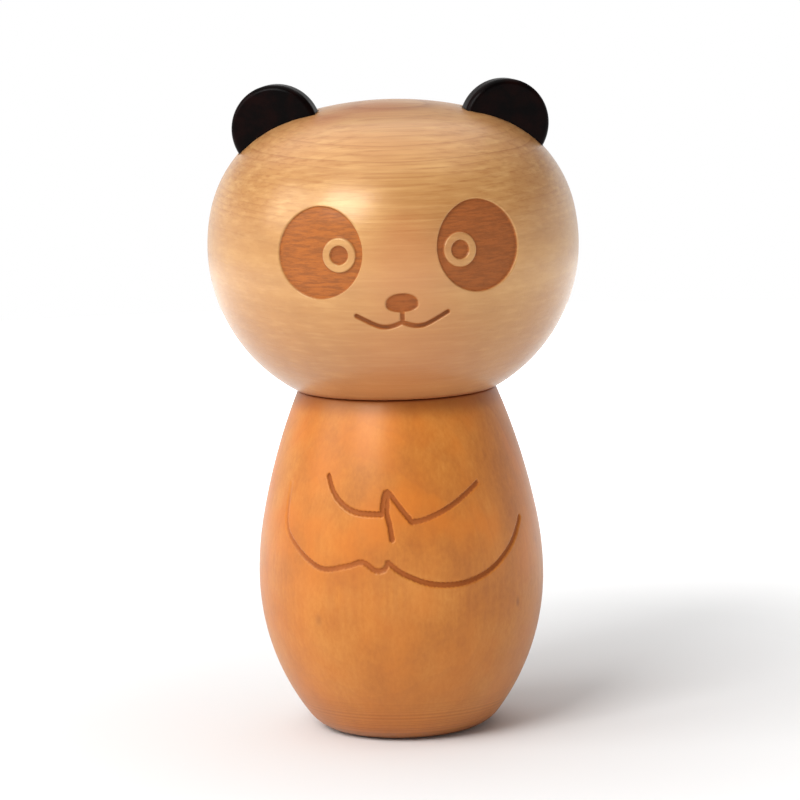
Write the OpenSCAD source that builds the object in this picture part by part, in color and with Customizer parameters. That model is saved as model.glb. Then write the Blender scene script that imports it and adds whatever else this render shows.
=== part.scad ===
// Turned wooden panda doll: a barrel body, a round head that turns on a dowel
// tenon, and two lacquered disc ears glued into slots in the head.
// Millimetres. The origin is the centre of the base, the face looks along -Y.

/* [Body] */
// Widest diameter of the body
body_d = 43.9; // [43.3:0.1:44.5]
// Height of the widest place of the body
body_mid_z = 24; // [24]
// Radius of the rounded foot
foot_r = 6.3; // [5.4, 5.7, 6, 6.3, 6.6]
// Side radius just above the widest place
body_mid_r = 48.8; // [48.8]
// Side radius from there up to the neck
body_high_r = 97.6; // [97.6]
// Rounding of the body's edge at the neck
neck_round = 0.36; // [0.36]

/* [Head] */
// Widest diameter of the head
head_d = 56.8; // [56.8]
// Height of the widest place of the head
head_mid_z = 75; // [74.9:0.1:75.2]
// Rounding of the head's edge at the neck
head_round = 0.489; // [0.489]
// Side radius below the widest place
cheek_r = 25; // [25]
// Side radius just above the widest place
brow_r = 26.5; // [26.5]
// Radius of the shoulder of the crown
shoulder_r = 19.12; // [19.12]
// Radius of the flat crown
crown_r = 51.62; // [51.62]

/* [Neck joint] */
// Outer diameter of the seat ring under the head
seat_d = 22; // [18:1:26]
// Diameter of the dowel tenon
tenon_d = 12; // [10:0.5:13]
// Diameter of the swelled foot that keeps the tenon in the body
tenon_foot_d = 13.6; // [13.4:0.1:14]
// Length of the swelled foot
tenon_foot_l = 7; // [5:0.5:9]
// Depth of the narrow mouth above the chamber
mouth_l = 9; // [7:0.5:11]
// Length of tenon glued into the head
tenon_head_l = 16; // [12:1:20]
// Running clearance on the radius of the tenon
tenon_play = 0.05; // [0.03:0.01:0.08]

/* [Ears] */
// Diameter of an ear
ear_d = 13.6; // [13:0.1:14.4]
// Thickness of an ear
ear_t = 3.8; // [3:0.1:4.2]
// Rounding of an ear's edges
ear_round = 0.9; // [0.3:0.1:1]
// Sideways distance of an ear's centre from the axis
ear_x = 17.3; // [17:0.1:17.8]
// How far an ear's middle plane lies in front of the axis
ear_front = 1.4; // [1:0.1:2.2]
// Height of an ear's centre
ear_z = 93.2; // [92.7:0.1:93.5]
// Angle by which an ear faces outwards
ear_toe = 14; // [8:1:18]
// Glue line round an ear in its slot
ear_glue = 0.04; // [0.02:0.01:0.08]

/* [Engraved face] */
// Depth of all the engraving
engrave = 0.35; // [0.2:0.05:0.5]
// Lean of the engraved face, its left eye higher
face_lean = 1.1; // [0:0.1:2]
// Diameter of an eye patch
patch_d = 13.6; // [13:0.1:14]
// Height of the eye patches
patch_z = 77.1; // [76.5:0.1:77.5]
// Angle round the head from the nose to an eye patch
patch_a = 25; // [24:0.5:26]
// Diameter of the raised ring of an eye
ring_d = 5.1; // [4.8:0.1:5.4]
// Diameter of the pupil
pupil_d = 2.8; // [2.4:0.1:3]
// Height of the eye rings
ring_z = 76.8; // [76.5:0.1:77.2]
// Angle round the head from the nose to an eye ring
ring_a = 18.5; // [18:0.5:19.5]
// Width of the nose
nose_w = 4.9; // [4.5:0.1:5.3]
// Height of the nose
nose_h = 2.8; // [2.5:0.1:3.1]
// Height of the nose's lower edge
nose_z = 68.05; // [67.8:0.05:68.3]
// Width of the mouth line
mouth_w = 0.7; // [0.5:0.05:0.9]

/* [Engraved arms] */
// Width of the arm lines
arm_w = 0.75; // [0.6:0.05:1.1]

/* [Hidden] */
$fn = 96;
// Longer than the doll in any direction, for cutters and clips
far = 120;
// Steps from one chosen point of an engraved line to the next
line_steps = 3;
// Width of the thin line that is widened into an engraved one
thread = 0.02;
// Share of the nose's height that lies below its widest place
nose_low = 0.4;

body_r = body_d / 2;
head_r = head_d / 2;
seat_play = 0.05;

// Each turning's side is a chain of arcs [distance from the axis, height, radius]
// that pass smoothly into each other. Neighbours meet in the direction of the
// long side of a whole-number right triangle, which keeps every centre exact.
function toward(side) = side / norm(side);
function next_arc(arc, way, r) = [arc[0] + (arc[2] - r) * way[0], arc[1] + (arc[2] - r) * way[1], r];
function level(arc, way, skin) = arc[1] + (arc[2] - skin) * way[1];

sideways = [1, 0];
foot_way = toward([4, -3]);
waist_way = toward([60, 11]);
neck_way = toward([12, 5]);
// The side's lowest arc is as large as lets the foot's rounding rest at height 0
body_low_r = foot_r + (body_mid_z - foot_r) / -foot_way[1];
body_low = [body_r - body_low_r, body_mid_z, body_low_r];
body_mid = [body_r - body_mid_r, body_mid_z, body_mid_r];
body_high = next_arc(body_mid, waist_way, body_high_r);
body_arcs = [next_arc(body_low, foot_way, foot_r), body_low, body_mid, body_high,
             next_arc(body_high, neck_way, neck_round)];
body_ways = [foot_way, sideways, waist_way, neck_way];

seam_way = toward([95, -168]);
brow_way = toward([40, 9]);
crown_way = toward([7, 24]);
cheek = [head_r - cheek_r, head_mid_z, cheek_r];
brow = [head_r - brow_r, head_mid_z, brow_r];
shoulder = next_arc(brow, brow_way, shoulder_r);
head_arcs = [next_arc(cheek, seam_way, head_round), cheek, brow, shoulder,
             next_arc(shoulder, crown_way, crown_r)];
head_ways = [seam_way, sideways, brow_way, crown_way];

body_h = level(body_arcs[4], [0, 1], 0);
seam_top = level(head_arcs[0], [0, -1], 0);

// Engraved lines, as [distance round the turning from its middle, height].
// The distance is taken at the widest radius.
mouth_side = [[0, 66.45], [1.4, 65.95], [2.7, 65.8], [4.2, 66.15], [7.1, 67.65]];
philtrum = [[0, 68.2], [0, 66.45]];
arm_lines = [
  [[-13.7, 41.9], [-12.4, 39.7], [-10.4, 37.9], [-7.8, 36.8], [-3.7, 36.6]],
  [[-3.7, 36.6], [-3.4, 38.9], [-2.7, 39.8], [-0.6, 37.4], [1.1, 35.4]],
  [[1.1, 35.4], [2.9, 35.6], [5.5, 36.4], [8.8, 37.8], [13.5, 40.3]],
  [[-2.7, 39.8], [-2.9, 37], [-2.4, 34.8], [-2.1, 32.9]],
  [[-22.5, 40], [-22, 34.4], [-19.6, 31.5], [-14, 28.3], [-9.4, 28.8], [-6.8, 29.5],
   [-4.7, 28.3], [-3.3, 28.5], [-2.8, 29.5]],
  [[-2.8, 29.5], [-0.2, 27.6], [4, 26], [9, 25.8], [14, 27.3], [18.9, 30.5], [22.3, 34]]
];

// Outside radius of each turning at a height, for laying lines on it
function arc_x(arc, z) = arc[0] + sqrt(arc[2] * arc[2] - pow(z - arc[1], 2));
function head_radius(z) = arc_x(cheek, z);
function body_radius(z) = arc_x(z > level(body_mid, waist_way, 0) ? body_high : body_mid, z);

// A smooth run through chosen points, by Catmull and Rom's rule
function along(a, b, c, d, t) = 0.5 * (2 * b + (c - a) * t + (2 * a - 5 * b + 4 * c - d) * t * t
  + (3 * b - 3 * c + d - a) * t * t * t);
function smooth(p) = [
  for (i = [0 : len(p) - 2], s = [0 : line_steps - 1])
    along(p[max(i - 1, 0)], p[i], p[i + 1], p[min(i + 2, len(p) - 1)], s / line_steps),
  p[len(p) - 1]
];
// The two sides of a line of width w that follows the points p
function side_step(p, i) = let (d = p[min(i + 1, len(p) - 1)] - p[max(i - 1, 0)])
  [-d[1], d[0]] / norm(d);
function ribbon(p, w) = concat(
  [for (i = [0 : len(p) - 1]) p[i] + side_step(p, i) * w / 2],
  [for (i = [len(p) - 1 : -1 : 0]) p[i] - side_step(p, i) * w / 2]
);
// Points laid round the head, leaning with the face, and round the body
function lean(p) = [p[0] * cos(face_lean) - (p[1] - patch_z) * sin(face_lean),
  patch_z + p[0] * sin(face_lean) + (p[1] - patch_z) * cos(face_lean)];
function on_head(p) = let (q = lean(p))
  [head_radius(min(q[1], head_mid_z)) * sin(q[0] / head_r * 180 / PI), q[1]];
function on_body(p) = [body_radius(p[1]) * sin(p[0] / body_r * 180 / PI), p[1]];

// The outline of a turning, less a skin: one slice for each arc of its side
module outline(arcs, ways, skin = 0) {
  last = len(arcs) - 1;
  for (i = [0 : last]) {
    from_z = i == 0 ? level(arcs[0], [0, -1], skin) : level(arcs[i - 1], ways[i - 1], skin);
    to_z = i == last ? level(arcs[last], [0, 1], skin) : level(arcs[i], ways[i], skin);
    difference() {
      intersection() {
        union() {
          translate([arcs[i][0], arcs[i][1]]) circle(arcs[i][2] - skin);
          if (arcs[i][0] > 0) square([arcs[i][0], far]);
        }
        translate([0, from_z]) square(far);
      }
      translate([-far / 2, to_z]) square(2 * far);
    }
  }
}

module body_turning(skin = 0) { rotate_extrude() outline(body_arcs, body_ways, skin); }
module head_turning(skin = 0) { rotate_extrude() outline(head_arcs, head_ways, skin); }

// A flat shape drawn on the front view, driven through the front of the doll
module from_front() {
  rotate([90, 0, 0]) linear_extrude(far / 2) children();
}

// A round cutter of diameter d, aimed at the head from an angle round it
module round_at(d, angle, z) {
  middle = lean([angle / 180 * PI * head_r, z]);
  rotate([0, 0, middle[0] / head_r * 180 / PI])
    translate([0, 0, middle[1]]) rotate([90, 0, 0]) cylinder(h = far / 2, d = d);
}

// Lines of width w through each list of points, with round ends and joints
module lines(point_lists, w) {
  offset(r = (w - thread) / 2, $fn = 24)
    for (points = point_lists) polygon(ribbon(points, thread));
}

// An oval that is flatter below its widest place than above it
module nose_shape() {
  middle = lean([0, nose_z + nose_h * nose_low]);
  translate(middle) rotate(face_lean) polygon([
    for (a = [0 : 7.5 : 352.5])
      [nose_w / 2 * cos(a), nose_h * (a < 180 ? 1 - nose_low : nose_low) * sin(a)]
  ]);
}

module face_cutters() {
  for (side = [-1, 1]) {
    difference() {
      round_at(patch_d, side * patch_a, patch_z);
      round_at(ring_d, side * ring_a, ring_z);
    }
    round_at(pupil_d, side * ring_a, ring_z);
  }
  from_front() {
    nose_shape();
    lines([
      for (side = [-1, 1]) [for (p = smooth(mouth_side)) on_head([side * p[0], p[1]])],
      [for (p = philtrum) on_head(p)]
    ], mouth_w);
  }
}

module arm_cutters() {
  from_front() lines([for (points = arm_lines) [for (p = smooth(points)) on_body(p)]], arm_w);
}

// Places its children at an ear's centre, facing along the ear's axis
module at_ear(side) {
  translate([side * ear_x, -ear_front, ear_z]) rotate([90, 0, side * ear_toe]) children();
}

// A disc with rounded edges, centred on its middle plane
module ear(side) {
  color("#120a0a") at_ear(side) rotate_extrude() {
    translate([0, -ear_t / 2]) square([ear_d / 2 - ear_round, ear_t]);
    translate([0, -ear_t / 2 + ear_round]) square([ear_d / 2, ear_t - 2 * ear_round]);
    for (up = [-1, 1])
      translate([ear_d / 2 - ear_round, up * (ear_t / 2 - ear_round)]) circle(ear_round);
  }
}

module body() {
  foot_z = body_h - mouth_l;
  chamber_l = tenon_foot_l + 1.5;
  color("#cf823e") difference() {
    body_turning();
    difference() {
      arm_cutters();
      body_turning(engrave);
    }
    translate([0, 0, foot_z - 1]) cylinder(h = mouth_l + 2, d = tenon_d + 2 * tenon_play);
    translate([0, 0, foot_z - chamber_l])
      cylinder(h = chamber_l, d = tenon_foot_d + 2 * tenon_play);
  }
}

module head() {
  color("#e0ad70") difference() {
    union() {
      head_turning();
      translate([0, 0, body_h + seat_play]) cylinder(h = seam_top - body_h + 1, d = seat_d);
    }
    difference() {
      face_cutters();
      head_turning(engrave);
    }
    translate([0, 0, body_h - 1]) cylinder(h = tenon_head_l + 1, d = tenon_d);
    for (side = [-1, 1]) at_ear(side)
      cylinder(h = ear_t + 2 * ear_glue, d = ear_d + 2 * ear_glue, center = true);
  }
}

// The stem that is glued in the head, and the swelled foot below it
module neck_tenon() {
  foot_top = body_h - mouth_l - 0.1;
  color("#dcc08c") {
    translate([0, 0, foot_top - 1])
      cylinder(h = tenon_head_l + body_h - foot_top + 1, d = tenon_d);
    translate([0, 0, foot_top - tenon_foot_l]) cylinder(h = tenon_foot_l, d = tenon_foot_d);
  }
}

module left_ear() { ear(1); }
module right_ear() { ear(-1); }

body();
head();
neck_tenon();
left_ear();
right_ear();
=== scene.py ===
import math

import bmesh
import bpy
import numpy as np
from mathutils import Matrix, Vector


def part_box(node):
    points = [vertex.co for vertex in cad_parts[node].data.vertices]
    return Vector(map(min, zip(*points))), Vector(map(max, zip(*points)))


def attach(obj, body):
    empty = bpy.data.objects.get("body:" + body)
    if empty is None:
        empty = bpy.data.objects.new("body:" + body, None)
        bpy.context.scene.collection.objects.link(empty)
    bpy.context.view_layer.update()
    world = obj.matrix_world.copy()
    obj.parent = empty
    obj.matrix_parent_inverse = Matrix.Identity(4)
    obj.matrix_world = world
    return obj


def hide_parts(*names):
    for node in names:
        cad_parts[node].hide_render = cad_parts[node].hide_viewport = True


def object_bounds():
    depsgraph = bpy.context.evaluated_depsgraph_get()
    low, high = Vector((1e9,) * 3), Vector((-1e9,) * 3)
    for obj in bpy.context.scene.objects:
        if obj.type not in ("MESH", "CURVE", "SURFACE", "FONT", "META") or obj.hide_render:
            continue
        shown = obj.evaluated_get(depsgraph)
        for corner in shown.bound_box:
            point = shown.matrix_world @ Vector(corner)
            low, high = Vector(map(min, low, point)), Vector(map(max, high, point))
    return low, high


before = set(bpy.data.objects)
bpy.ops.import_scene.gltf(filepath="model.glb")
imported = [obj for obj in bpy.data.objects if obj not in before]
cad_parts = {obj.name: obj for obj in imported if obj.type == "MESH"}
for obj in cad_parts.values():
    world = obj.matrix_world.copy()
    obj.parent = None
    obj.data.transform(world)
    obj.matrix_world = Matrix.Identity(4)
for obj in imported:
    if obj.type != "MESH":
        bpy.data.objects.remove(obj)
cad_low, cad_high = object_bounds()

# ---------------------------------------------------------------------------
# Camera
# The doll is seen from a little above and from two degrees to its right, from
# far enough away that its sides hardly converge. The camera leans slightly.
# ---------------------------------------------------------------------------
MM = 0.001
CAMERA_DISTANCE = 660 * MM
CAMERA_AZIMUTH = math.radians(-2.0)
CAMERA_RISE = math.radians(8.7)
CAMERA_LEAN = math.radians(-1.45)
CAMERA_LENS = 193
AIM_HEIGHT = 0.508 * cad_high.z
AIM_ASIDE = 0.45 * MM

to_camera = Vector((
    math.sin(CAMERA_AZIMUTH) * math.cos(CAMERA_RISE),
    -math.cos(CAMERA_AZIMUTH) * math.cos(CAMERA_RISE),
    math.sin(CAMERA_RISE),
))
aside = Vector((math.cos(CAMERA_AZIMUTH), math.sin(CAMERA_AZIMUTH), 0))
aim = Vector((0, 0, AIM_HEIGHT)) + aside * AIM_ASIDE
camera = bpy.data.objects.new("camera", bpy.data.cameras.new("camera"))
camera.data.lens = CAMERA_LENS
camera.location = aim + to_camera * CAMERA_DISTANCE
upright = (-to_camera).to_track_quat("-Z", "Y").to_matrix().to_4x4()
camera.rotation_euler = (upright @ Matrix.Rotation(CAMERA_LEAN, 4, "Z")).to_euler()
bpy.context.scene.collection.objects.link(camera)
bpy.context.scene.camera = camera

# ---------------------------------------------------------------------------
# Body
# A barrel of orange-toned wood with its grain upright, turned, bored for the
# tenon, engraved with two folded arms, and varnished.
# ---------------------------------------------------------------------------
BODY_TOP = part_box("body")[1].z / MM
BODY_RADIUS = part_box("body")[1].x / MM
BODY_WIDEST = 24
FOOT_ROUND = 6.3
BODY_LOW_ROUND = 35.8
BODY_MIDDLE_ROUND = 48.8
BODY_HIGH_ROUND = 97.6
NECK_ROUND = 0.36
BORE_PLAY = 0.05
BORE_DEPTH = 9
CHAMBER_SPARE = 1.4
BODY_COLUMNS = 144

tenon_low, tenon_high = (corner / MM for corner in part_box("neck_tenon"))
FOOT_OF_TENON = tenon_high.x
TENON_RADIUS = 6

# Ways in which the side of a turning faces, as (outwards, upwards)
DOWN = (0, -1)
OUT = (1, 0)
UP = (0, 1)
FOOT_WAY = (4, -3)
WAIST_WAY = (60, 11)
NECK_WAY = (12, 5)


def next_arc(arc, way, radius):
    """The arc (x, z, radius) that goes on smoothly from another, where both face a way."""
    reach = (arc[2] - radius) / math.hypot(*way)
    return arc[0] + reach * way[0], arc[1] + reach * way[1], radius


class Outline:
    """Draws half the section of a turning, and knows its radius at any height.

    The section lies in the XZ plane, in millimetres."""

    def __init__(self, x, z):
        self.bm = bmesh.new()
        self.tip = self.bm.verts.new((x, 0, z))
        self.arcs = []

    def straight(self, x, z, cuts=1):
        """Goes on in a straight line, to a point."""
        start = self.tip.co.copy()
        for i in range(cuts):
            step = start.lerp(Vector((x, 0, z)), (i + 1) / cuts)
            self.tip = bmesh.ops.extrude_vert_indiv(self.bm, verts=[self.tip])["verts"][0]
            self.tip.co = step

    def arc(self, x, z, swing, step):
        """Goes on round a centre by an angle in degrees, in steps of about a length."""
        centre = Vector((x, 0, z))
        radius = (self.tip.co - centre).length
        steps = max(2, round(abs(math.radians(swing)) * radius / step))
        start = self.tip.co.z
        swung = bmesh.ops.spin(
            self.bm, geom=[self.tip], cent=centre, axis=(0, -1, 0),
            angle=math.radians(swing), steps=steps,
        )
        self.tip = next(g for g in swung["geom_last"] if isinstance(g, bmesh.types.BMVert))
        self.arcs.append((start, self.tip.co.z, x, z, radius))

    def side(self, arcs, ways, steps):
        """Goes up a chain of arcs, each from one way that the side faces to the next."""
        facing = [math.degrees(math.atan2(upwards, outwards)) for outwards, upwards in ways]
        for (x, z, _), low, high, step in zip(arcs, facing, facing[1:], steps):
            self.arc(x, z, high - low, step)

    def radius(self, z):
        """The outside radius at each height in an array."""
        result = np.zeros_like(z)
        for start, end, x, centre, r in self.arcs:
            here = (z >= start) & (z <= end)
            result[here] = x + np.sqrt(r * r - (z[here] - centre) ** 2)
        return result


def turn(outline, columns):
    """Swings the section round the axis and closes it."""
    bm = outline.bm
    bmesh.ops.spin(
        bm, geom=bm.verts[:] + bm.edges[:], cent=(0, 0, 0), axis=(0, 0, 1),
        angle=math.tau, steps=columns, use_merge=True,
    )
    bmesh.ops.remove_doubles(bm, verts=bm.verts, dist=0.0005)
    bmesh.ops.recalc_face_normals(bm, faces=bm.faces)
    return bm


body_low = (BODY_RADIUS - BODY_LOW_ROUND, BODY_WIDEST, BODY_LOW_ROUND)
body_middle = (BODY_RADIUS - BODY_MIDDLE_ROUND, BODY_WIDEST, BODY_MIDDLE_ROUND)
body_high = next_arc(body_middle, WAIST_WAY, BODY_HIGH_ROUND)
body_foot = next_arc(body_low, FOOT_WAY, FOOT_ROUND)
body_neck = next_arc(body_high, NECK_WAY, NECK_ROUND)

bore_radius = TENON_RADIUS + BORE_PLAY
chamber_radius = FOOT_OF_TENON + BORE_PLAY
chamber_top = BODY_TOP - BORE_DEPTH
chamber_floor = tenon_low.z - CHAMBER_SPARE
body_side = Outline(0, 0)
body_side.straight(body_foot[0], 0, cuts=6)
body_side.side(
    [body_foot, body_low, body_middle, body_high, body_neck],
    [DOWN, FOOT_WAY, OUT, WAIST_WAY, NECK_WAY, UP],
    steps=[0.4, 1, 1, 1, 0.12],
)
body_side.straight(bore_radius, BODY_TOP, cuts=4)
body_side.straight(bore_radius, chamber_top, cuts=4)
body_side.straight(chamber_radius, chamber_top)
body_side.straight(chamber_radius, chamber_floor, cuts=4)
body_side.straight(0, chamber_floor, cuts=3)
body_mesh = turn(body_side, BODY_COLUMNS)


def refine(bm, outline, half_angle, low, high, cuts):
    """Makes the mesh finer on the front between two heights, and true to its arcs.
    Returns the vertices there, and their places."""
    def on_front(places):
        angle = np.degrees(np.arctan2(places[:, 0], -places[:, 1]))
        radius = np.hypot(places[:, 0], places[:, 1])
        level = (places[:, 2] > low) & (places[:, 2] < high)
        outside = radius > 0.95 * outline.radius(places[:, 2])
        return level & outside & (np.abs(angle) < half_angle)

    bm.verts.layers.float.new("burn")
    middles = np.array([face.calc_center_median() for face in bm.faces])
    window = [face for face, inside in zip(bm.faces, on_front(middles)) if inside]
    edges = list({edge for face in window for edge in face.edges})
    bmesh.ops.subdivide_edges(bm, edges=edges, cuts=cuts, use_grid_fill=True)
    places = np.array([v.co for v in bm.verts])
    inside = on_front(places)
    places = places[inside]
    verts = [v for v, wanted in zip(bm.verts, inside) if wanted]
    stretch = outline.radius(places[:, 2]) / np.hypot(places[:, 0], places[:, 1])
    for v, s in zip(verts, stretch):
        v.co.xy = v.co.xy * float(s)
    return verts, places


def smooth_line(points, steps=8):
    """A smooth run through chosen points, by Catmull and Rom's rule."""
    p = np.array([points[0], *points, points[-1]], float)
    t = np.linspace(0, 1, steps, endpoint=False)[:, None]
    runs = [
        0.5 * (2 * b + (c - a) * t + (2 * a - 5 * b + 4 * c - d) * t**2
               + (3 * b - 3 * c + d - a) * t**3)
        for a, b, c, d in zip(p, p[1:], p[2:], p[3:])
    ]
    return np.vstack([*runs, p[-1:]])


def line_distance(spots, line):
    """How far each spot is from a line, and the line's third value at the nearest place."""
    nearest = np.full(len(spots), np.inf)
    strength = np.ones(len(spots))
    for a, b in zip(line, line[1:]):
        along = b[:2] - a[:2]
        t = np.clip((spots - a[:2]) @ along / max(along @ along, 1e-9), 0, 1)
        distance = np.linalg.norm(spots - a[:2] - t[:, None] * along, axis=1)
        closer = distance < nearest
        nearest[closer] = distance[closer]
        strength[closer] = (a[2] + t * (b[2] - a[2]))[closer]
    return nearest, strength


def step_down(distance, wall):
    """1 well inside an engraved outline, 0 outside it, with a sloping wall between."""
    t = np.clip(0.5 - distance / wall, 0, 1)
    return t * t * (3 - 2 * t)


def engrave(bm, verts, depths, burns):
    """Sinks each vertex below the surface, and writes how burnt it is."""
    layer = bm.verts.layers.float["burn"]
    for v, depth, burn in zip(verts, depths, burns):
        out = Vector((v.co.x, v.co.y, 0)).normalized()
        v.co -= out * float(depth)
        v[layer] = float(burn)


# Each arm line: [distance round the body from the front, height, strength]
ARM_LINES = [
    [(-13.7, 41.9, 1.1), (-12.4, 39.7, 0.9), (-10.4, 37.9, 0.8), (-7.8, 36.8, 0.9), (-3.7, 36.6, 1)],
    [(-3.7, 36.6, 1), (-3.4, 38.9, 1), (-2.7, 39.8, 0.9), (-0.6, 37.4, 0.9), (1.1, 35.4, 1)],
    [(1.1, 35.4, 1), (2.9, 35.6, 0.8), (5.5, 36.4, 0.9), (8.8, 37.8, 0.9), (13.5, 40.3, 0.8)],
    [(-2.7, 39.8, 0.9), (-2.9, 37, 1), (-2.4, 34.8, 1), (-2.1, 32.9, 1)],
    [(-22.5, 40, 0.2), (-22, 34.4, 0.4), (-19.6, 31.5, 0.6), (-14, 28.3, 0.75), (-9.4, 28.8, 0.7),
     (-6.8, 29.5, 0.8), (-4.7, 28.3, 0.8), (-3.3, 28.5, 0.7), (-2.8, 29.5, 0.7)],
    [(-2.8, 29.5, 0.8), (-0.2, 27.6, 0.9), (4, 26, 1), (9, 25.8, 1), (14, 27.3, 1),
     (18.9, 30.5, 0.8), (22.3, 34, 0.7)],
]
ARM_WIDTH = 0.74
ENGRAVED = 0.35
ARM_WALL = 0.35
RAGGED = 0.07

front, place = refine(body_mesh, body_side, half_angle=64, low=23.5, high=43.5, cuts=8)
spots = np.column_stack([np.arctan2(place[:, 0], -place[:, 1]) * BODY_RADIUS, place[:, 2]])
across, height = spots.T
arm_cut = np.zeros(len(spots))
ragged = RAGGED * np.sin(across * 9 + 2 * np.sin(height * 7)) * np.sin(height * 11)
for points in ARM_LINES:
    distance, strength = line_distance(spots, smooth_line(points))
    cut = step_down(distance + ragged - ARM_WIDTH / 2, ARM_WALL) * np.clip(strength, 0, 1)
    arm_cut = np.maximum(arm_cut, cut)
engrave(body_mesh, front, arm_cut * ENGRAVED, arm_cut)


class Value:
    """One output socket of a material, with arithmetic on it."""

    def __init__(self, paint, socket):
        self.paint = paint
        self.socket = socket

    def __add__(self, other):
        return self.paint.maths("ADD", self, other)

    def __sub__(self, other):
        return self.paint.maths("SUBTRACT", self, other)

    def __mul__(self, other):
        return self.paint.maths("MULTIPLY", self, other)

    def __rsub__(self, other):
        return self.paint.maths("SUBTRACT", other, self)

    def __pow__(self, other):
        return self.paint.maths("POWER", self, other)

    __radd__ = __add__
    __rmul__ = __mul__


class Paint:
    """A new material, and the one way its nodes are made."""

    def __init__(self, name):
        self.material = bpy.data.materials.new(name)
        self.material.use_nodes = True
        self.tree = self.material.node_tree
        self.shader = self.tree.nodes["Principled BSDF"]

    def node(self, kind, inputs=None, output=0, **settings):
        """Adds a node: first its settings, then the values or links of its sockets."""
        made = self.tree.nodes.new("ShaderNode" + kind)
        for key, value in settings.items():
            if key == "stops":
                for place, (position, colour) in enumerate(value):
                    if place >= len(made.color_ramp.elements):
                        made.color_ramp.elements.new(position)
                    made.color_ramp.elements[place].position = position
                    made.color_ramp.elements[place].color = colour
            else:
                setattr(made, key, value)
        for key, value in (inputs or {}).items():
            self.plug(made.inputs[key], value)
        return Value(self, made.outputs[output])

    def plug(self, socket, value):
        """Links a value to a socket, or sets a plain number or colour on it."""
        if isinstance(value, Value):
            self.tree.links.new(value.socket, socket)
        else:
            socket.default_value = value

    def maths(self, operation, a, b):
        return self.node("Math", {0: a, 1: b}, operation=operation)

    def smooth(self, value, low, high):
        """0 below low and 1 above high, with a soft step between."""
        return self.node(
            "MapRange", {"Value": value, "From Min": low, "From Max": high},
            interpolation_type="SMOOTHSTEP",
        )

    def mix(self, factor, a, b):
        """Goes from colour a to colour b as the factor goes from 0 to 1."""
        return self.node("Mix", {0: factor, 6: a, 7: b}, output=2, data_type="RGBA")

    def place(self, scale, centre=(0, 0, 0)):
        """Object coordinates in millimetres from a centre, stretched along each axis."""
        object_place = self.node("TexCoord", output=3)
        return self.node("Mapping", {
            "Vector": object_place,
            "Location": tuple(-c * s for c, s in zip(centre, scale)),
            "Scale": tuple(s / MM for s in scale),
        })

    def height(self):
        """How high a place is, in millimetres."""
        return self.node("SeparateXYZ", {0: self.place((1, 1, 1))}, output=2)

    def length(self, place):
        """How far a place is from the centre it is taken from."""
        return self.node("VectorMath", {0: place}, output=1, operation="LENGTH")

    def noise(self, place, scale, detail=2.0, roughness=0.5):
        return self.node("TexNoise", {
            "Vector": place, "Scale": scale, "Detail": detail, "Roughness": roughness,
        })

    def noise_along(self, value, scale, detail=2.0):
        """Noise that changes along one value only, as from one lathe line to the next."""
        return self.node(
            "TexNoise", {"W": value, "Scale": scale, "Detail": detail}, noise_dimensions="1D",
        )

    def growth(self, place, spacing, wander):
        """Growth rings about the line along which a place is stretched most: pale
        early wood that darkens to a late edge, some rings more than others."""
        ring = self.length(place) * (1 / spacing) + self.noise(place, 0.11, detail=4) * wander
        weight = self.noise_along(ring, 0.45)
        age = self.maths("FRACT", ring, 0)
        return age ** 4 * (1 - self.smooth(age, 0.9, 1)) * self.smooth(weight, 0.3, 0.7) * 1.4

    def spot(self, centre, radius, stretch=(1, 1, 1)):
        """1 at a place on the surface, and 0 further than a radius from it."""
        away = self.length(self.place(stretch, centre))
        return 1 - self.smooth(away, 0.1 * radius, radius)

    def bump(self, relief, strength):
        """Fine relief, at most a fifth of a millimetre high."""
        return self.node("Bump", {"Height": relief, "Strength": strength, "Distance": 0.2 * MM})

    def finish(self, **sockets):
        """Sets the shader's own sockets and returns the material."""
        for name, value in sockets.items():
            self.plug(self.shader.inputs[name.replace("_", " ")], value)
        return self.material


def srgb(red, green, blue):
    """A colour as it looks on a screen, 0 to 255, made linear."""
    return tuple(
        c / 12.92 if c <= 0.04045 else ((c + 0.055) / 1.055) ** 2.4
        for c in (red / 255, green / 255, blue / 255)
    ) + (1,)


# The warm shine of varnished wood, whose top fibres colour the light they send back
VARNISHED = srgb(255, 222, 164)

# Small blemishes of this block: [x, height, radius, darkness]
BODY_FLECKS = [(17.2, 21.3, 0.9, 0.55), (-13.4, 20.2, 1.2, 0.35), (-12.4, 17.2, 0.8, 0.25)]


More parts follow.
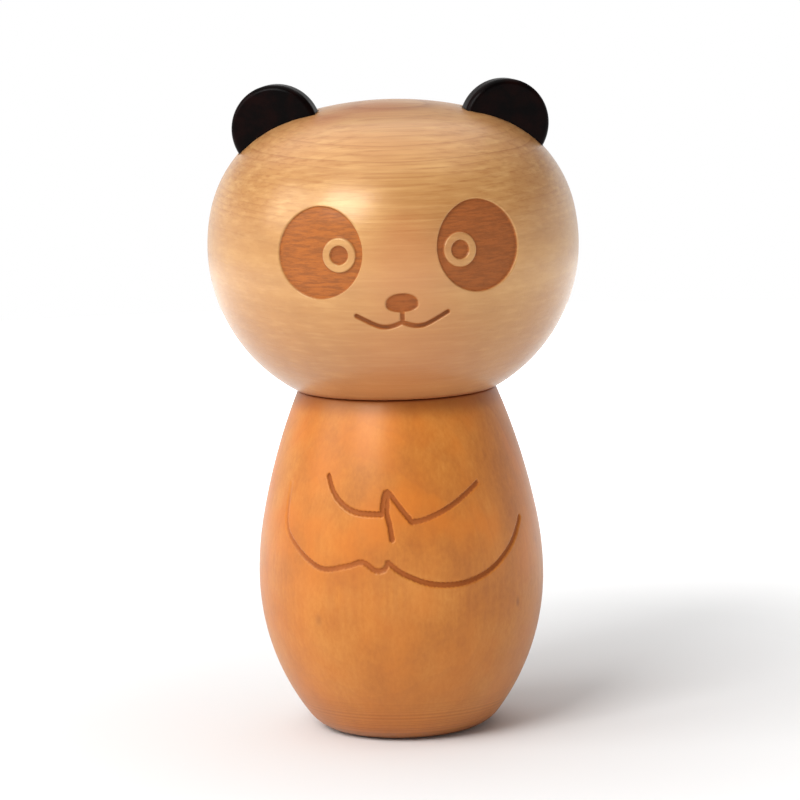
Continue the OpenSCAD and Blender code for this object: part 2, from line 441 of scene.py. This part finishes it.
def body_wood():
    """Orange-toned wood: upright grain, soft blotches, fine lathe lines, clear varnish."""
    p = Paint("body_wood")
    rings = p.growth(p.place((1, 1, 0.02), (5, 16, 0)), 1.7, 2.5)
    blotch = p.noise(p.place((1, 1, 0.8)), 0.085, detail=3, roughness=0.55)
    cloud = p.noise(p.place((1, 1, 0.6), (9, 4, 2)), 0.22, detail=4, roughness=0.6)
    streak = p.noise(p.place((1, 1, 0.05)), 1.1, detail=4, roughness=0.65)
    fibre = p.noise(p.place((1, 1, 0.07)), 7, detail=3, roughness=0.65)
    mottle = p.noise(p.place((1, 1, 0.6)), 1.8, detail=3, roughness=0.6)
    height = p.height()
    lathe = p.noise_along(height, 3.2, detail=3)
    near_foot = 1 - p.smooth(height, 2.5, 9)
    burn = p.node("Attribute", output=2, attribute_name="burn")

    tone = blotch * 0.9 + cloud * 0.45 + streak * 0.25 + mottle * 0.4 - 0.5
    colour = p.node("ValToRGB", {"Fac": tone}, stops=[
        (0.2, srgb(154, 84, 27)), (0.5, srgb(179, 106, 38)), (0.8, srgb(197, 129, 56)),
    ])
    orange = p.smooth(p.noise(p.place((1, 1, 0.9), (4, 11, 6)), 0.13, detail=2), 0.36, 0.72)
    colour = p.mix(orange * (0.3 + 0.3 * p.smooth(height, 22, 34)), colour, srgb(200, 108, 26))
    colour = p.mix(rings * 0.28, colour, srgb(148, 80, 35))
    colour = p.mix(fibre * 0.22, colour, srgb(164, 96, 45))
    colour = p.mix((1 - p.smooth(height, 4, 26)) * 0.3, colour, srgb(184, 118, 66))
    colour = p.mix(p.smooth(lathe, 0.42, 0.62) * near_foot * 0.5, colour, srgb(140, 74, 34))
    for x, z, radius, darkness in BODY_FLECKS:
        y = -math.sqrt(BODY_RADIUS**2 - x * x)
        fleck = p.spot((x, y, z), radius, (1.3, 1.3, 0.8))
        colour = p.mix(fleck * darkness, colour, srgb(120, 62, 28))
    # Painted shade: darker under the seam, where the head shades the body, and round the foot by the
    # floor
    # Painted shade of the head on the top of the body
    colour = p.mix(p.smooth(height, 49.6, 52.4) * 0.6, colour, srgb(116, 56, 22))
    # Painted shade on the rim of the neck, inside the seam
    colour = p.mix(p.smooth(height, 52.5, 52.9), colour, srgb(140, 74, 34))
    # Painted shade round the foot, where it meets the floor
    colour = p.mix((1 - p.smooth(height, 0.2, 2.5)) * 0.4, colour, srgb(104, 54, 26))
    scorched = p.mix(cloud, srgb(158, 82, 32), srgb(122, 54, 20))
    colour = p.mix(p.smooth(burn, 0.05, 0.75) * 0.92, colour, scorched)
    relief = fibre * 0.5 + streak * 0.6 + lathe * near_foot
    return p.finish(
        Base_Color=colour, Roughness=0.38 + fibre * 0.14 + burn * 0.25, Normal=p.bump(relief, 0.1),
        Specular_IOR_Level=0.5, Specular_Tint=VARNISHED,
        Coat_Weight=0.25 * (1 - burn), Coat_Roughness=0.32,
    )


def as_piece(name, bm, material, sharp=math.radians(50)):
    """Makes a finished piece of a mesh drawn in millimetres."""
    bmesh.ops.scale(bm, vec=(MM, MM, MM), verts=bm.verts)
    mesh = bpy.data.meshes.new(name)
    bm.to_mesh(mesh)
    bm.free()
    mesh.shade_smooth()
    mesh.set_sharp_from_angle(angle=sharp)
    mesh.materials.append(material)
    piece = bpy.data.objects.new(name, mesh)
    bpy.context.scene.collection.objects.link(piece)
    return piece


body = as_piece("body_turning", body_mesh, body_wood())
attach(body, "body")
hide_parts("body")

# ---------------------------------------------------------------------------
# Neck tenon
# A bare hardwood dowel, glued into the head, with a swelled foot that turns
# in the chamber of the body and can't come out of it.
# ---------------------------------------------------------------------------
TENON_CHAMFER = 0.4
FOOT_CHAMFER = 0.5
FOOT_TOP_BEVEL = 0.3
FOOT_PLAY = 0.1
TENON_COLUMNS = 72

foot_top = chamber_top - FOOT_PLAY
tenon_side = Outline(0, tenon_low.z)
tenon_side.straight(FOOT_OF_TENON - FOOT_CHAMFER, tenon_low.z, cuts=3)
tenon_side.straight(FOOT_OF_TENON, tenon_low.z + FOOT_CHAMFER)
tenon_side.straight(FOOT_OF_TENON, foot_top - FOOT_CHAMFER, cuts=3)
tenon_side.straight(FOOT_OF_TENON - FOOT_TOP_BEVEL, foot_top)
tenon_side.straight(TENON_RADIUS, foot_top)
tenon_side.straight(TENON_RADIUS, tenon_high.z - TENON_CHAMFER, cuts=8)
tenon_side.straight(TENON_RADIUS - TENON_CHAMFER, tenon_high.z)
tenon_side.straight(0, tenon_high.z, cuts=3)


def tenon_wood():
    """Bare hardwood, its grain along the dowel."""
    p = Paint("tenon_wood")
    grain = p.noise(p.place((1, 1, 0.04)), 1.2, detail=4, roughness=0.6)
    fibre = p.noise(p.place((1, 1, 0.08)), 7, detail=3)
    colour = p.node("ValToRGB", {"Fac": grain * 0.8 + fibre * 0.3}, stops=[
        (0.25, srgb(190, 146, 92)), (0.75, srgb(226, 190, 138)),
    ])
    return p.finish(Base_Color=colour, Roughness=0.5 + fibre * 0.2, Normal=p.bump(fibre, 0.15))


tenon_mesh = turn(tenon_side, TENON_COLUMNS)
tenon = as_piece("tenon_dowel", tenon_mesh, tenon_wood(), sharp=math.radians(30))
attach(tenon, "head")
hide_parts("neck_tenon")

# ---------------------------------------------------------------------------
# Head
# A flattened ball of paler wood with its grain level, turned, bored for the
# tenon, slotted for the ears, engraved with the face, and varnished.
# ---------------------------------------------------------------------------
HEAD_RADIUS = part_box("head")[1].x / MM
HEAD_WIDEST = 75
HEAD_EDGE_ROUND = 0.489
CHEEK_ROUND = 25
BROW_ROUND = 26.5
SHOULDER_ROUND = 19.12
CROWN_ROUND = 51.62
SEAT_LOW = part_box("head")[0].z / MM
SEAT_RADIUS = 11
HEAD_COLUMNS = 144
EDGE_WAY = (95, -168)
BROW_WAY = (40, 9)
CROWN_WAY = (7, 24)

cheek = (HEAD_RADIUS - CHEEK_ROUND, HEAD_WIDEST, CHEEK_ROUND)
edge = next_arc(cheek, EDGE_WAY, HEAD_EDGE_ROUND)
brow = (HEAD_RADIUS - BROW_ROUND, HEAD_WIDEST, BROW_ROUND)
shoulder = next_arc(brow, BROW_WAY, SHOULDER_ROUND)
crown = next_arc(shoulder, CROWN_WAY, CROWN_ROUND)
head_low = edge[1] - HEAD_EDGE_ROUND

head_side = Outline(0, tenon_high.z)
head_side.straight(TENON_RADIUS, tenon_high.z, cuts=3)
head_side.straight(TENON_RADIUS, SEAT_LOW, cuts=6)
head_side.straight(SEAT_RADIUS, SEAT_LOW, cuts=3)
head_side.straight(SEAT_RADIUS, head_low)
head_side.straight(edge[0], head_low, cuts=3)
head_side.side(
    [edge, cheek, brow, shoulder, crown],
    [DOWN, EDGE_WAY, OUT, BROW_WAY, CROWN_WAY, UP],
    steps=[0.12, 1.1, 1.1, 1.1, 1.1],
)
head_mesh = turn(head_side, HEAD_COLUMNS)

# Lengths of the face are taken round the head at its widest, angles from its middle, in degrees
PATCH_RADIUS = 6.8
PATCH_ANGLE = 25
PATCH_HEIGHT = 77.1
RING_RADIUS = 2.55
PUPIL_RADIUS = 1.4
RING_ANGLE = 18.5
RING_HEIGHT = 76.8
FACE_LEAN = math.radians(1.1)
NOSE_HALF = 2.45
NOSE_LOW = 68.05
NOSE_HIGH = 70.85
NOSE_WIDEST = 69.2
FACE_WALL = 0.22
MOUTH_WIDTH = 0.68
MOUTH_WALL = 0.3
# Half the mouth, and the line up to the nose: [distance from the middle, height, strength]
MOUTH_SIDE = [(0, 66.45, 0.85), (1.4, 65.95, 0.9), (2.7, 65.8, 1), (4.2, 66.15, 1), (7.1, 67.65, 1)]
MOUTH_UPRIGHT = [(0, 68.2, 0.8), (0, 66.45, 0.9)]
# How dark each shape is burnt. One patch came out a little paler than the other
PALE_BURN = 0.75
BURN = 0.9
LINE_BURN = 1

front, place = refine(head_mesh, head_side, half_angle=42, low=64.4, high=84.6, cuts=9)
# The drawing leans a little about the point between the eyes
around = np.arctan2(place[:, 0], -place[:, 1]) * HEAD_RADIUS
above = place[:, 2] - PATCH_HEIGHT
across = around * math.cos(FACE_LEAN) + above * math.sin(FACE_LEAN)
height = PATCH_HEIGHT + above * math.cos(FACE_LEAN) - around * math.sin(FACE_LEAN)
spots = np.column_stack([across, height])


def from_middle(angle, z):
    """How far each spot is from the middle of a round shape of the face."""
    return np.hypot(across - math.radians(angle) * HEAD_RADIUS, height - z)


def face_line(line):
    """A line of the mouth, as an engraved shape."""
    distance, strength = line_distance(spots, line)
    return distance - MOUTH_WIDTH / 2, MOUTH_WALL, strength, LINE_BURN


# The nose is an oval, flatter below its widest place than above it
rise = height - NOSE_WIDEST
rise = np.where(rise > 0, rise / (NOSE_HIGH - NOSE_WIDEST), rise / (NOSE_WIDEST - NOSE_LOW))
nose = (np.hypot(across / NOSE_HALF, np.abs(rise) ** 1.2) - 1) * (NOSE_HIGH - NOSE_LOW) / 2

# Each engraved shape: (distance of each spot from its edge, wall, strength, burn)
shapes = [(nose, FACE_WALL, 1, BURN), face_line(np.array(MOUTH_UPRIGHT))]
for side, patch_burn in ((-1, PALE_BURN), (1, BURN)):
    ring = from_middle(side * RING_ANGLE, RING_HEIGHT)
    patch = from_middle(side * PATCH_ANGLE, PATCH_HEIGHT) - PATCH_RADIUS
    shapes.append((np.maximum(patch, RING_RADIUS - ring), FACE_WALL, 1, patch_burn))
    shapes.append((ring - PUPIL_RADIUS, FACE_WALL, 1, BURN))
    shapes.append(face_line(smooth_line([(side * x, z, s) for x, z, s in MOUTH_SIDE])))
cuts = [step_down(distance, wall) * strength for distance, wall, strength, _ in shapes]
burns = [cut * burn for cut, (*_, burn) in zip(cuts, shapes)]
engrave(head_mesh, front, np.max(cuts, axis=0) * ENGRAVED, np.max(burns, axis=0))

# Warmer, darker spots: [x, y, height, radius, strength]. On the crown: tint; low on the face:
# painted shade
HEAD_TINT_AND_SHADE_SPOTS = [
    (1, -28, 75, 11, 0.4), (0.5, -27, 80, 4, 0.15), (2, -24, 61, 14, 0.35),
    (-10, -9, 94.5, 5, 0.5), (-3, -6, 96.5, 9, 0.5),
]


def head_wood():
    """Pale wood: level growth layers, fibres from ear to ear, clear varnish."""
    p = Paint("head_wood")
    layers = p.place((0.02, 0.42, 1), (0, 5, 40))
    rings = p.growth(layers, 0.95, 2.2)
    wide = p.noise_along(p.length(layers), 0.42, detail=3)
    blotch = p.noise(p.place((0.7, 1, 1), (3, 0, 0)), 0.075, detail=3)
    dapple = p.noise(p.place((0.5, 1, 1)), 0.5, detail=4, roughness=0.6)
    fibre = p.noise(p.place((0.07, 1, 1)), 6, detail=3, roughness=0.65)
    streaks = p.smooth(p.noise(p.place((0.02, 0.35, 1)), 2.4, detail=4, roughness=0.6), 0.44, 0.74)
    rays = p.smooth(p.noise(p.place((0.03, 0.3, 1), (9, 3, 5)), 1.6, detail=4), 0.44, 0.76)
    height = p.height()
    burn = p.node("Attribute", output=2, attribute_name="burn")

    tone = blotch * 0.8 + wide * 0.25 + dapple * 0.3 - 0.17
    colour = p.node("ValToRGB", {"Fac": tone}, stops=[
        (0.2, srgb(152, 103, 57)), (0.5, srgb(172, 121, 68)), (0.8, srgb(190, 142, 84)),
    ])
    # Painted light: paler towards the crown, as if lit from above
    colour = p.mix(p.smooth(height, 86, 94) * 0.5, colour, srgb(214, 156, 102))
    # Painted shade: darker and pinker towards the bottom of the head, where less light reaches
    colour = p.mix((1 - p.smooth(height, 56, 76)) * 0.4, colour, srgb(168, 108, 76))
    forehead = p.smooth(height, 76, 86)
    colour = p.mix(rings * (0.08 + 0.55 * forehead), colour, srgb(142, 80, 34))
    colour = p.mix(streaks * (0.16 + 0.34 * forehead), colour, srgb(146, 84, 34))
    colour = p.mix(fibre * 0.25, colour, srgb(158, 108, 66))
    colour = p.mix(rays * (0.12 + 0.16 * forehead), colour, srgb(222, 180, 118))
    # Warmer, darker spots; the crown ones are tint, the low one on the face is painted shade
    for x, y, z, radius, strength in HEAD_TINT_AND_SHADE_SPOTS:
        colour = p.mix(p.spot((x, y, z), radius) * strength, colour, srgb(170, 94, 52))
    dashes = p.smooth(p.noise(p.place((0.16, 0.16, 1)), 2.4, detail=4, roughness=0.7), 0.36, 0.64)
    shallow = p.mix(dashes, srgb(154, 76, 15), srgb(122, 54, 8))
    deep = p.mix(dashes, srgb(139, 66, 22), srgb(118, 52, 15))
    scorched = p.mix(p.smooth(burn, 0.76, 0.88), shallow, deep)
    scorched = p.mix(p.smooth(burn, 0.9, 1), scorched, srgb(104, 46, 18))
    # Painted shade on the bottom rim of the head, by the seam
    colour = p.mix(1 - p.smooth(height, 53.2, 54), colour, srgb(150, 84, 46))
    colour = p.mix(p.smooth(burn, 0.1, 0.7) * 0.96, colour, scorched)
    relief = fibre * 0.6 + streaks * 0.3 + rings * 0.4 + dashes * p.smooth(burn, 0.5, 0.8)
    return p.finish(
        Base_Color=colour, Roughness=0.28 + fibre * 0.2 + burn * 0.45, Normal=p.bump(relief, 0.16),
        Specular_IOR_Level=1.0, Specular_Tint=VARNISHED,
        Coat_Weight=0.5 * (1 - burn), Coat_Roughness=0.25,
    )


head = as_piece("head_turning", head_mesh, head_wood())
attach(head, "head")
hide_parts("head")

# ---------------------------------------------------------------------------
# Ears
# Two lacquered wooden discs with rounded edges, each glued into a round slot
# that is sawn across the shoulder of the head.
# ---------------------------------------------------------------------------
EAR_THICKNESS = 3.8
EAR_ROUND = 0.9
EAR_TOE = math.radians(14)
EAR_GLUE = 0.04
EAR_COLUMNS = 160


def ear_lacquer():
    """Gloss black lacquer with a faint red-brown depth and a slight orange peel."""
    p = Paint("ear_lacquer")
    cloud = p.noise(p.place((1, 1, 1)), 0.35, detail=3)
    peel = p.noise(p.place((1, 1, 1)), 2.2)
    dust = p.smooth(p.noise(p.place((1, 1, 1)), 9), 0.66, 0.72)
    colour = p.mix(p.smooth(cloud, 0.35, 0.7), srgb(4, 2, 2), srgb(17, 4, 3))
    return p.finish(
        Base_Color=colour, Roughness=0.28 + dust * 0.2, Normal=p.bump(peel, 0.05),
        Specular_IOR_Level=0.045,
    )


def ear_disc(radius):
    """A disc with rounded edges, lying round the Z axis."""
    half = EAR_THICKNESS / 2
    side = Outline(0, -half)
    side.straight(radius - EAR_ROUND, -half, cuts=6)
    side.arc(radius - EAR_ROUND, EAR_ROUND - half, 90, 0.08)
    side.straight(radius, half - EAR_ROUND, cuts=3)
    side.arc(radius - EAR_ROUND, half - EAR_ROUND, 90, 0.08)
    side.straight(0, half, cuts=6)
    return turn(side, EAR_COLUMNS)


def saw_slot(piece, radius, stand):
    """Cuts a round slot for an ear, with its glue line, out of a piece."""
    saw = bmesh.new()
    bmesh.ops.create_cone(
        saw, cap_ends=True, segments=EAR_COLUMNS, radius1=radius + EAR_GLUE,
        radius2=radius + EAR_GLUE, depth=EAR_THICKNESS + 2 * EAR_GLUE,
    )
    bmesh.ops.transform(saw, matrix=stand, verts=saw.verts)
    slot = as_piece("slot", saw, piece.data.materials[0])
    cut = piece.modifiers.new("slot", "BOOLEAN")
    cut.object = slot
    cut.operation = "DIFFERENCE"
    cut.solver = "EXACT"
    slotted = piece.evaluated_get(bpy.context.evaluated_depsgraph_get())
    mesh = bpy.data.meshes.new_from_object(slotted)
    piece.modifiers.clear()
    piece.data = mesh
    bpy.data.objects.remove(slot)


lacquer = ear_lacquer()
for name, side in (("left_ear", 1), ("right_ear", -1)):
    low, high = (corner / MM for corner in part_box(name))
    middle = (low + high) / 2
    radius = (high.z - low.z) / 2
    stand = (
        Matrix.Translation(middle)
        @ Matrix.Rotation(side * EAR_TOE, 4, "Z")
        @ Matrix.Rotation(math.radians(90), 4, "X")
    )
    disc = ear_disc(radius)
    bmesh.ops.transform(disc, matrix=stand, verts=disc.verts)
    ear = as_piece(name + "_disc", disc, lacquer)
    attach(ear, "head")
    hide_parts(name)
    saw_slot(head, radius, stand)

# ---------------------------------------------------------------------------
# Floor and light
# A pale table top in a white room, under three soft lamps: a window to the
# front left, a weaker one to the left, and one overhead for crown and ears.
# ---------------------------------------------------------------------------
FLOOR_RADIUS = 500 * MM
# Where the table's painted glow starts and where it is full, in millimetres from the doll
GLOW_FROM = 20
GLOW_TO = 330

scene = bpy.context.scene
scene.view_settings.view_transform = "Standard"
floor_mesh = bmesh.new()
bmesh.ops.create_circle(floor_mesh, cap_ends=True, segments=96, radius=FLOOR_RADIUS)
floor_paint = Paint("floor")
cloud = floor_paint.noise(floor_paint.place((1, 1, 1)), 0.02)
floor_colour = floor_paint.mix(cloud * 0.3, (0.83, 0.83, 0.83, 1), (0.8, 0.8, 0.8, 1))
away = floor_paint.length(floor_paint.place((1, 1, 1)))
# Painted light: the table glows more the further it is from the doll, so it and the doll's shadow
# fade into the white room
floor_glow = floor_paint.mix(floor_paint.smooth(away, GLOW_FROM, GLOW_TO), (0, 0, 0, 1), (1, 1, 1, 1))
floor_data = bpy.data.meshes.new("floor")
floor_mesh.to_mesh(floor_data)
floor_mesh.free()
floor_data.materials.append(floor_paint.finish(
    Base_Color=floor_colour, Roughness=0.9, Emission_Color=floor_glow, Emission_Strength=1,
))
floor = bpy.data.objects.new("floor", floor_data)
scene.collection.objects.link(floor)

# The room is white as high as the horizon, and dimmer overhead
world = bpy.data.worlds.new("studio")
world.use_nodes = True
room = world.node_tree
way = room.nodes.new("ShaderNodeTexCoord")
split = room.nodes.new("ShaderNodeSeparateXYZ")
dim = room.nodes.new("ShaderNodeMapRange")
dim.interpolation_type = "SMOOTHSTEP"
dim.inputs["From Min"].default_value = 0.1
dim.inputs["From Max"].default_value = 0.35
dim.inputs["To Min"].default_value = 1.0
dim.inputs["To Max"].default_value = 0.25
room.links.new(way.outputs["Generated"], split.inputs[0])
room.links.new(split.outputs["Z"], dim.inputs["Value"])
room.links.new(dim.outputs[0], room.nodes["Background"].inputs["Strength"])
room.nodes["Background"].inputs["Color"].default_value = (1, 1, 1, 1)
scene.world = world

# Each lamp: name, place in metres, size in metres, power in watts
LAMPS = [
    ("window", (-0.56, -0.78, 0.8), 0.56, 11),
    ("side", (-0.98, -0.25, 0.6), 0.6, 4.5),
    ("overhead", (-0.05, 0.2, 0.95), 1.3, 5),
]
for name, where, size, power in LAMPS:
    data = bpy.data.lights.new(name, "AREA")
    data.size = size
    data.energy = power
    lamp = bpy.data.objects.new(name, data)
    lamp.location = where
    aim_way = Vector((0, 0, AIM_HEIGHT)) - lamp.location
    lamp.rotation_euler = aim_way.to_track_quat("-Z", "Y").to_euler()
    scene.collection.objects.link(lamp)
